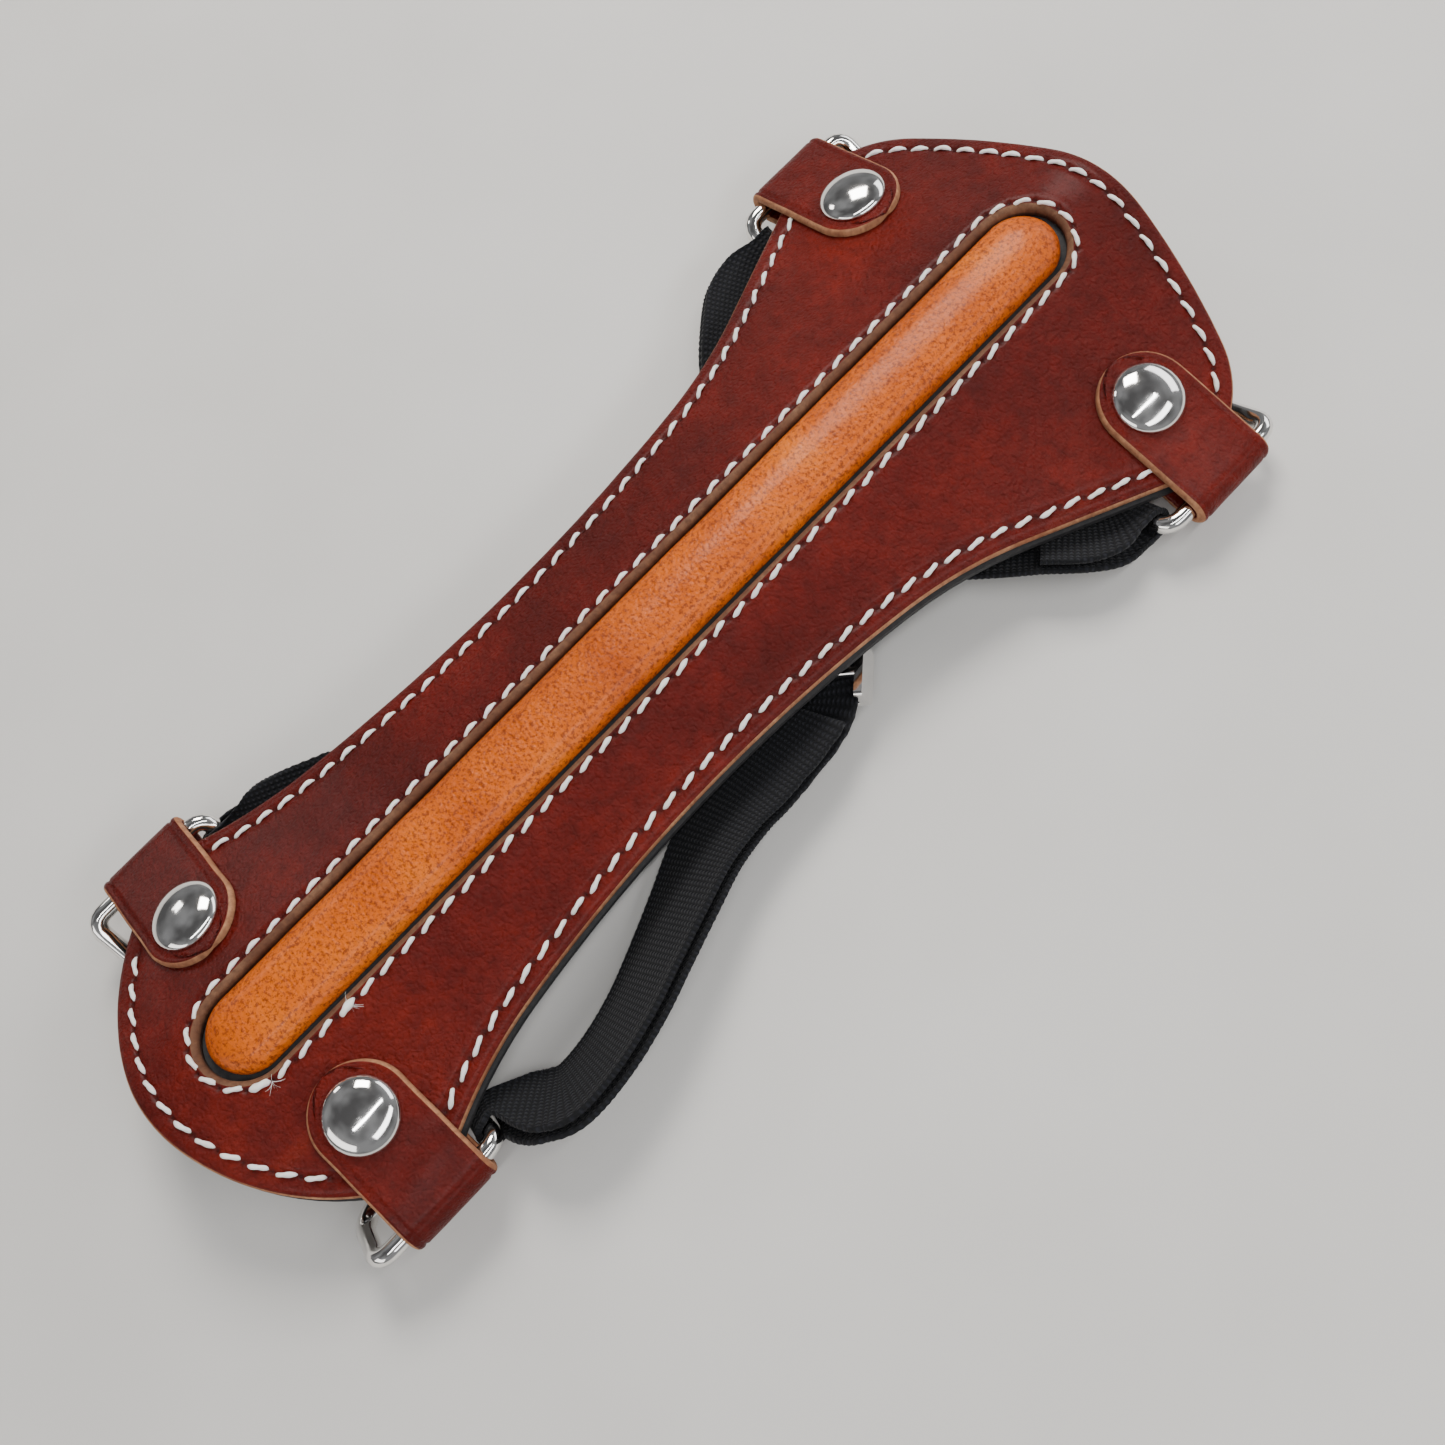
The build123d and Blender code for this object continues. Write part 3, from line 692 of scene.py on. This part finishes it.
def tab_piece(place):
    """Leather strip folded round the ring's bar: rounded ends, creased border, raw edges."""
    tab = TABS[place]
    thick = TAB_THICK
    mid_radius = FOLD_RADIUS + thick / 2
    fold = pi * mid_radius
    total = FOLD_X + fold + FOLD_X
    ends = TAB_HALF * (1 - np.cos(np.linspace(0, pi / 2, 16)))
    leg = np.linspace(0, FOLD_X, 26)[1:]
    stations = np.concatenate([-TAB_HALF + ends, leg, FOLD_X + np.linspace(0, fold, 20)[1:],
                               FOLD_X + fold + leg, total + TAB_HALF - ends[::-1][1:]])
    # Each column is (edge it is measured from, inset, height) or ("share", share of the half width, height).
    section = [(0.0, -0.30), (0.0, 0.20), (0.16, 0.50), (0.46, 0.72), (0.95, 0.84),
               (TAB_CREASE, 0.60), (TAB_CREASE + 0.42, 0.84)]
    seed = {"wrist": 1, "elbow": 2}[place[0]] + 4 * (place[1] == "right")
    columns = [(1, inset, height) for inset, height in section]
    columns += [("share", share, 0.84) for share in np.linspace(0.72, -0.72, 9)]
    columns += [(-1, inset, height) for inset, height in section[::-1]]
    top = len(columns)
    columns += [(-1, 0.0, -0.62), (-1, 0.35, -0.80), ("share", -0.6, -0.80), ("share", 0.0, -0.80),
                ("share", 0.6, -0.80), (1, 0.35, -0.80), (1, 0.0, -0.62)]
    raw = {0, 1, 2, top - 4, top - 3, top - 2, top - 1, len(columns) - 2, len(columns) - 1}
    verts = []
    for u in stations:
        if u < 0:
            half = sqrt(max(TAB_HALF**2 - u**2, 1e-4))
        elif u > total:
            half = sqrt(max(TAB_HALF**2 - (u - total) ** 2, 1e-4))
        else:
            half = TAB_HALF
        half *= 1 - 0.012 * noise.noise(Vector((u / 6, seed, 0)))
        if u <= FOLD_X:
            base, out = np.array([u, thick / 2]), np.array([0, 1])
        elif u <= FOLD_X + fold:
            angle = (u - FOLD_X) / mid_radius
            out = np.array([sin(angle), cos(angle)])
            base = np.array([FOLD_X, -FOLD_RADIUS]) + out * mid_radius
        else:
            base, out = np.array([total - u, -STACK - thick / 2]), np.array([0, -1])
        squeeze = min(1.0, half / 2.2)
        for kind, value, height in columns:
            v = value * half if kind == "share" else kind * max(half - value * squeeze, 0.0)
            lift = (height / 0.8) * (thick / 2) * (0.35 + 0.65 * squeeze)
            if height > 0.5:
                lift += 0.05 * noise.noise(Vector((u / 3.5, v / 5.0, seed * 3.0)))
            x, z = base + out * lift
            verts.append((x, v, z))
    rows, count = len(stations), len(columns)
    faces = grid_faces(rows, count, wrap_columns=True)
    slots = [1 if (i % count) in raw else 0 for i in range(len(faces))]
    faces += [tuple(range(count))[::-1], tuple(range((rows - 1) * count, rows * count))]
    slots += [1, 1]
    name = "_".join(place)
    piece = mesh_piece(f"leather_tab_{name}", tab.place(verts), faces, [TAB_LEATHER, RAW], slots)
    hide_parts(f"tab_{name}")
    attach(piece, "guard")
    return piece


def lathe(profile, count):
    """Points and quads of a profile of (radius, height) turned about z."""
    turns = [2 * pi * k / count for k in range(count)]
    verts = [(radius * cos(turn), radius * sin(turn), z) for radius, z in profile for turn in turns]
    return verts, grid_faces(len(profile), count, wrap_columns=True)


def cap_piece(place):
    """Domed rivet cap with a rolled rim pressed into the tab."""
    profile = [(0.02, 2.60), (0.9, 2.575), (1.8, 2.49), (2.7, 2.33), (3.6, 2.08), (4.4, 1.76), (5.0, 1.44),
               (5.45, 1.12), (5.75, 0.82), (5.93, 0.55), (6.0, 0.32), (5.97, 0.12), (5.82, 0.0), (5.3, -0.05),
               (3.0, -0.05)]
    profile = [(r, z + TAB_THICK) for r, z in profile]
    verts, faces = lathe(profile, 72)
    name = "_".join(place)
    piece = mesh_piece(f"rivet_cap_{name}", TABS[place].place(verts), faces, [METAL])
    smooth = piece.modifiers.new("smooth", "SUBSURF")
    smooth.levels = smooth.render_levels = 1
    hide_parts(f"cap_{name}")
    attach(piece, "guard")
    return piece


def ring_path():
    """Closed rounded rectangle in the ring's plane: first value away from the bar, second along it."""
    far = RING_DEPTH - RING_FAR_CORNER
    corners = ((far, 1, RING_FAR_CORNER), (RING_NEAR_CORNER, 1, RING_NEAR_CORNER),
               (RING_NEAR_CORNER, -1, RING_NEAR_CORNER), (far, -1, RING_FAR_CORNER))
    points = []
    for quarter, (depth, side, radius) in enumerate(corners):
        along = side * (RING_HALF - radius)
        first = quarter * pi / 2
        for angle in np.linspace(first, first + pi / 2, 12):
            points.append((depth + radius * cos(angle), along + radius * sin(angle)))
    return np.array(points)


def tube(path, radius, sides):
    """Round wire along a closed path of 3-D points."""
    ahead = np.roll(path, -1, 0) - np.roll(path, 1, 0)
    ahead /= np.linalg.norm(ahead, axis=1)[:, None]
    normal = np.cross(path[5] - path[0], path[20] - path[0])
    normal /= np.linalg.norm(normal)
    side = np.cross(ahead, normal)
    verts = []
    for point, across in zip(path, side):
        for k in range(sides):
            angle = 2 * pi * k / sides
            verts.append(point + radius * (across * cos(angle) + normal * sin(angle)))
    return verts, grid_faces(len(path), sides, wrap_rows=True, wrap_columns=True)


def ring_piece(place):
    """Ring of polished wire through the tab's fold."""
    tab = TABS[place]
    inward = np.array([-tab.way * cos(tab.hang), 0, -sin(tab.hang)])
    plan, _ = resample(ring_path(), 0.9, closed=True)
    path = tab.pivot + plan[:, :1] * inward + plan[:, 1:] * np.array([0, 1.0, 0])
    verts, faces = tube(path, WIRE, 20)
    name = "_".join(place)
    piece = mesh_piece(f"wire_ring_{name}", verts, faces, [METAL])
    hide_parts(f"ring_{name}")
    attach(piece, f"ring_{name}")
    return piece


# ---- straps ----
FLOOR_GAP = 0.15
STRAP_GAP = 0.12
RING_WRAP = 5.35
STRAP_GATHER = 5.6
RING_EXIT = 2.2
SLIDER_LIFT = 2.5
MERGE = 3


def ring_station(place, side, out=0.0):
    """Where a strap goes round a ring's side, or `out` beyond it: x, y, z, lean and width."""
    tab = TABS[place]
    x = tab.pivot[0] - tab.way * RING_WRAP * cos(tab.hang)
    z = tab.pivot[2] - RING_WRAP * sin(tab.hang)
    return x, tab.pivot[1] + side * (RING_HALF + out), z, tab.hang, STRAP_GATHER


def resting(x, y, lean, width, lift=0.0):
    """Station of a strap that stands with its lower edge on the surface, or `lift` above it."""
    tilt = radians(lean)
    z = FLOOR_GAP + lift + width / 2 * sin(tilt) + (STRAP_THICK + PLY_STEP) / 2 * cos(tilt)
    return x, y, z, tilt, width


WRIST_ROUTE = [
    ring_station(("wrist", "right"), 1),
    ring_station(("wrist", "right"), 1, RING_EXIT),
    resting(36.6, -67.2, 43, 12, 1.0),
    resting(38.8, -64.4, 46, 15, 0.2),
    resting(40.6, -60.5, 48, 16),
    resting(40.2, -53.0, 48, 16),
    resting(38.2, -44.5, 47, 16),
    resting(35.3, -36.5, 45, 16),
    resting(32.0, -28.0, 41, 16),
    resting(28.8, -20.0, 35, 16),
    resting(26.9, -12.0, 27, 16, 0.6),
    resting(26.2, -5.0, 19, 16, 1.6),
    resting(24.6, 7.1, 14, 16, SLIDER_LIFT),
    resting(20.7, 11.7, 14, 16, SLIDER_LIFT),
    resting(16.8, 16.3, 14, 16, SLIDER_LIFT),
    resting(12.2, 20.4, 14, 16, 1.2),
    resting(6.2, 22.0, 14, 16),
    resting(0.0, 20.6, 14, 16),
    resting(-6.6, 15.8, 14, 16),
    resting(-11.8, 8.2, 13, 16),
    resting(-14.8, -1.0, 11, 16),
    resting(-16.4, -11.5, 9, 16),
    resting(-17.2, -22.5, 8, 16),
    resting(-18.6, -33.0, 9, 16),
    resting(-20.8, -43.5, 13, 16),
    resting(-24.0, -53.5, 20, 16),
    resting(-28.0, -62.0, 29, 15, 0.3),
    resting(-31.0, -67.6, 36, 12, 1.1),
    ring_station(("wrist", "left"), 1, RING_EXIT),
    ring_station(("wrist", "left"), 1),
]
ELBOW_ROUTE = [
    ring_station(("elbow", "left"), -1),
    ring_station(("elbow", "left"), -1, RING_EXIT),
    resting(-41.4, 62.2, 25, 11, 0.6),
    resting(-38.2, 57.8, 26, 15),
    resting(-33.6, 52.4, 25, 16),
    resting(-28.0, 46.6, 20, 16),
    resting(-21.6, 43.0, 12, 16, 0.5),
    resting(-14.0, 41.8, 4, 16, 1.2),
    resting(-7.5, 41.7, 0, 16, 2.0),
    resting(-1.0, 41.7, 0, 16, 2.0),
    resting(5.5, 41.7, 0, 16, 2.0),
    resting(13.0, 42.8, 4, 16, 1.2),
    resting(20.0, 45.4, 12, 16, 0.5),
    resting(26.4, 49.8, 20, 16),
    resting(32.4, 54.8, 25, 16),
    resting(38.0, 59.4, 26, 15),
    resting(41.4, 62.8, 25, 11, 0.6),
    ring_station(("elbow", "right"), -1, RING_EXIT),
    ring_station(("elbow", "right"), -1),
]


def smooth_route(route, per_span):
    """Catmull-Rom through the stations; the columns are x, y, z, lean, width and ply gap."""
    wrap_step = 2 * (WIRE + STRAP_GAP) + STRAP_THICK
    rows = []
    last = len(route) - 1
    for i, station in enumerate(route):
        spread = min(1.0, max(0.0, (MERGE - min(i, last - i)) / 2))
        rows.append((*station, PLY_STEP + (wrap_step - PLY_STEP) * spread))
    p = np.array(rows, float)
    dense = []
    for i in range(last):
        a, b, c, d = p[max(i - 1, 0)], p[i], p[i + 1], p[min(i + 2, last)]
        for t in np.arange(per_span) / per_span:
            dense.append(0.5 * (2 * b + (c - a) * t + (2 * a - 5 * b + 4 * c - d) * t**2
                                + (3 * b - a - 3 * c + d) * t**3))
    dense.append(p[-1])
    return np.array(dense)


def strap_sections(route, per_span, adjusting, sewn):
    """Centre, normal, across and width of the webbing all along: out, round a ring, back, round the other."""
    dense = smooth_route(route, per_span)
    xyz, lean, width, gap = dense[:, :3], dense[:, 3], dense[:, 4], dense[:, 5]
    ahead = np.gradient(xyz, axis=0)
    ahead[:, 2] = 0
    straight = per_span
    ahead[:straight, 0] *= np.linspace(0, 1, straight)
    ahead[-straight:, 0] *= np.linspace(1, 0, straight)
    ahead /= np.linalg.norm(ahead, axis=1)[:, None]
    up = np.array([0, 0, 1.0])
    across = np.cross(ahead, up) * np.cos(lean)[:, None] + up * np.sin(lean)[:, None]
    normal = np.cross(across, ahead)

    def ply(side):
        centres = xyz + normal * side * gap[:, None] / 2
        return list(zip(centres, normal * side, across, width))

    def wrap(i, way):
        radius = WIRE + STRAP_GAP + STRAP_THICK / 2
        turned = []
        for angle in np.linspace(0, pi, WRAP_SECTIONS + 2)[1:-1]:
            out = normal[i] * cos(angle) + ahead[i] * way * sin(angle)
            turned.append((xyz[i] + out * radius, out, across[i], width[i]))
        return turned

    upper, lower = ply(1), ply(-1)
    return upper[:adjusting][::-1] + wrap(0, -1) + lower + wrap(-1, 1)[::-1] + upper[-sewn:][::-1]


# from the middle of the band to its edge: share of the half width, and half of the thickness there
WEB_HALF = [(0.0, 0.43), (0.3, 0.43), (0.6, 0.42), (0.87, 0.40), (0.90, 0.50), (0.95, 0.55), (0.985, 0.42),
            (1.0, 0.10)]
WEB_SECTION = [(-share, half) for share, half in WEB_HALF[:0:-1]] + WEB_HALF


def strap_mesh(name, sections, first, last):
    """Webbing between two sections, with a UV map in millimetres along and across."""
    ring = WEB_SECTION + [(f, -h) for f, h in WEB_SECTION[::-1]]
    run = 0.0
    verts, uv = [], []
    previous = None
    for i, (centre, normal, across, width) in enumerate(sections):
        if previous is not None:
            run += float(np.linalg.norm(centre - previous))
        previous = centre
        if not first <= i <= last:
            continue
        for f, h in ring:
            scallop = 1 + (0.012 * sin(run * 2 * pi / WEB_ROW) if abs(f) > 0.9 else 0.0)
            verts.append(centre + across * (f * width / 2 * scallop) + normal * h)
            uv.append((run, f * width / 2))
    rows, count = last - first + 1, len(ring)
    faces = grid_faces(rows, count, wrap_columns=True)
    faces += [tuple(range(count))[::-1], tuple(range((rows - 1) * count, rows * count))]
    return mesh_piece(name, verts, faces, [WEB], uv=uv)


PER_SPAN = 16
WRAP_SECTIONS = 13           # round each ring
BLEND_SPANS = 5              # stations at each end that go into the ring's piece


def strap_pieces(end, route, slider_station, sewn_stations, feeds):
    """Webbing meshes of one strap: a piece round each ring, the tail, and the plies before and after the
    slider; the CAD strap is hidden.
    `feeds` is not used."""
    adjusting = (slider_station - 1) * PER_SPAN + 1
    sewn = (sewn_stations - 1) * PER_SPAN + 1
    sections = strap_sections(route, PER_SPAN, adjusting, sewn)
    reach = BLEND_SPANS * PER_SPAN
    first_ring = adjusting
    lower = first_ring + WRAP_SECTIONS
    last_ring = lower + (len(route) - 1) * PER_SPAN + 1
    centre = lower + slider_station * PER_SPAN
    pieces = []
    for stations, first, last in ((route, first_ring - 1 - reach, lower + reach),
                                  (route[::-1], last_ring - 1 - reach, len(sections) - 1)):
        side = "right" if stations[0][0] > 0 else "left"
        piece = strap_mesh(f"webbing_{end}_strap_{side}", sections, first, last)
        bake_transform(piece)
        pieces.append(piece)
    for name, first, last, feed in (("tail", 0, first_ring - 1 - reach, feeds[0]),
                                    ("before_slider", lower + reach, centre, feeds[0]),
                                    ("after_slider", centre, last_ring - 1 - reach, feeds[1])):
        piece = strap_mesh(f"webbing_{end}_strap_{name}", sections, first, last)
        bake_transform(piece)
        pieces.append(piece)
    for piece in pieces:
        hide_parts(f"{end}_strap")


# ---- build everything ----
panel()
rib()
stitches("edge_stitching", -0.34, 0.66, 11)
stitches("slot_stitching", -0.36, 0.70, 12)
for place in PLACES:
    tab_piece(place)
    cap_piece(place)
    ring_piece(place)
strap_pieces("wrist", WRIST_ROUTE, 13, 5, (((28.8, -20.0), (25.5, 1.0)), ((5.0, 20.0), (15.0, 17.5))))
strap_pieces("elbow", ELBOW_ROUTE, 9, 5, (((-23.0, 43.4), (-7.5, 41.7)), ((20.5, 45.6), (5.5, 41.7))))

plain_nodes = {"lining": LINING, "rib_core": filler(), "wrist_slider": METAL, "elbow_slider": METAL}
plain_nodes.update({f"post_{end}_{side}": METAL for end, side in PLACES})
for node, material in plain_nodes.items():
    piece = frame["nodes"][node]
    piece.data.materials.clear()
    piece.data.materials.append(material)

# ---- floor, light and camera ----
FLOOR_HALF = 1500
corners = [(-FLOOR_HALF, -FLOOR_HALF, 0), (FLOOR_HALF, -FLOOR_HALF, 0), (FLOOR_HALF, FLOOR_HALF, 0),
           (-FLOOR_HALF, FLOOR_HALF, 0)]
floor = mesh_piece("floor", corners, [(0, 1, 2, 3)], [pale_floor()])


def area_light(name, at, aim, size, power, colour=(1, 1, 1), size_y=None):
    data = bpy.data.lights.new(name, "AREA")
    data.energy = power
    data.color = colour
    data.shape = "RECTANGLE"
    data.size = size
    data.size_y = size_y or size
    light = bpy.data.objects.new(name, data)
    bpy.context.scene.collection.objects.link(light)
    light.location = at
    light.rotation_euler = (Vector(aim) - Vector(at)).to_track_quat("-Z", "Y").to_euler()


area_light("key_window", (-0.50, 0.42, 0.76), (0, 0, 0), 0.40, 8.6, (1.0, 0.97, 0.93))
area_light("overhead_strip", (0.30, 0.0, 0.88), (0, 0, 0), 1.1, 3.5, (0.98, 0.99, 1.0), 0.05)
area_light("side_window", (0.66, 0.12, 0.56), (0, 0, 0), 0.95, 3.0, (0.97, 0.98, 1.0), 0.17)
area_light("low_window", (-0.78, -0.20, 0.45), (-0.02, -0.08, 0), 0.16, 0.5, (1.0, 0.98, 0.95))
area_light("back_panel", (0.0, 1.0, 0.42), (0, 0, 0), 0.9, 3.0, (0.97, 0.98, 1.0), 0.35)
area_light("front_panel", (0.15, -1.0, 0.38), (0, 0, 0), 0.9, 2.4, (1.0, 0.99, 0.97), 0.35)

def studio_world():
    """Soft grey surroundings in uneven tones, so that the polished metal has something to reflect."""
    world = bpy.data.worlds.new("studio")
    bpy.context.scene.world = world
    world.use_nodes = True
    tree = world.node_tree
    clouds = tree.nodes.new("ShaderNodeTexNoise")
    clouds.inputs["Scale"].default_value = 1.4
    clouds.inputs["Detail"].default_value = 2.0
    tree.links.new(tree.nodes.new("ShaderNodeTexCoord").outputs["Generated"], clouds.inputs["Vector"])
    tones = tree.nodes.new("ShaderNodeValToRGB")
    dark, light = tones.color_ramp.elements
    dark.position = 0.34
    dark.color = (0.30, 0.30, 0.31, 1)
    light.position = 0.60
    light.color = (0.85, 0.87, 0.90, 1)
    tree.links.new(clouds.outputs[0], tones.inputs[0])
    tree.links.new(tones.outputs[0], tree.nodes["Background"].inputs[0])
    tree.nodes["Background"].inputs[1].default_value = 0.32


# The camera's place was fitted to the photograph: angles, the point it looks at and its distance.
AZIMUTH, ELEVATION, ROLL = radians(69.99), radians(67.79), radians(-27.15)
TARGET = Vector((21.03, -4.99, 20.2)) * MM
DISTANCE = 239.7 * MM
FOCAL_SHARE = 1.0906         # focal length over the sensor's width
SENSOR_WIDTH = 36.0


def place_camera():
    """Camera on a sphere round the target, rolled about its own axis."""
    back = Vector((sin(AZIMUTH) * cos(ELEVATION), -cos(AZIMUTH) * cos(ELEVATION), sin(ELEVATION)))
    right = Vector((cos(AZIMUTH), sin(AZIMUTH), 0))
    up = back.cross(right)
    rolled_right = right * cos(ROLL) + up * sin(ROLL)
    rolled_up = up * cos(ROLL) - right * sin(ROLL)
    data = bpy.data.cameras.new("camera")
    data.sensor_width = SENSOR_WIDTH
    data.lens = SENSOR_WIDTH * FOCAL_SHARE
    data.clip_start = 0.01
    camera = bpy.data.objects.new("camera", data)
    bpy.context.scene.collection.objects.link(camera)
    placed = Matrix((rolled_right, rolled_up, back)).transposed().to_4x4()
    placed.translation = TARGET + back * DISTANCE
    camera.matrix_world = placed
    bpy.context.scene.camera = camera


studio_world()
place_camera()
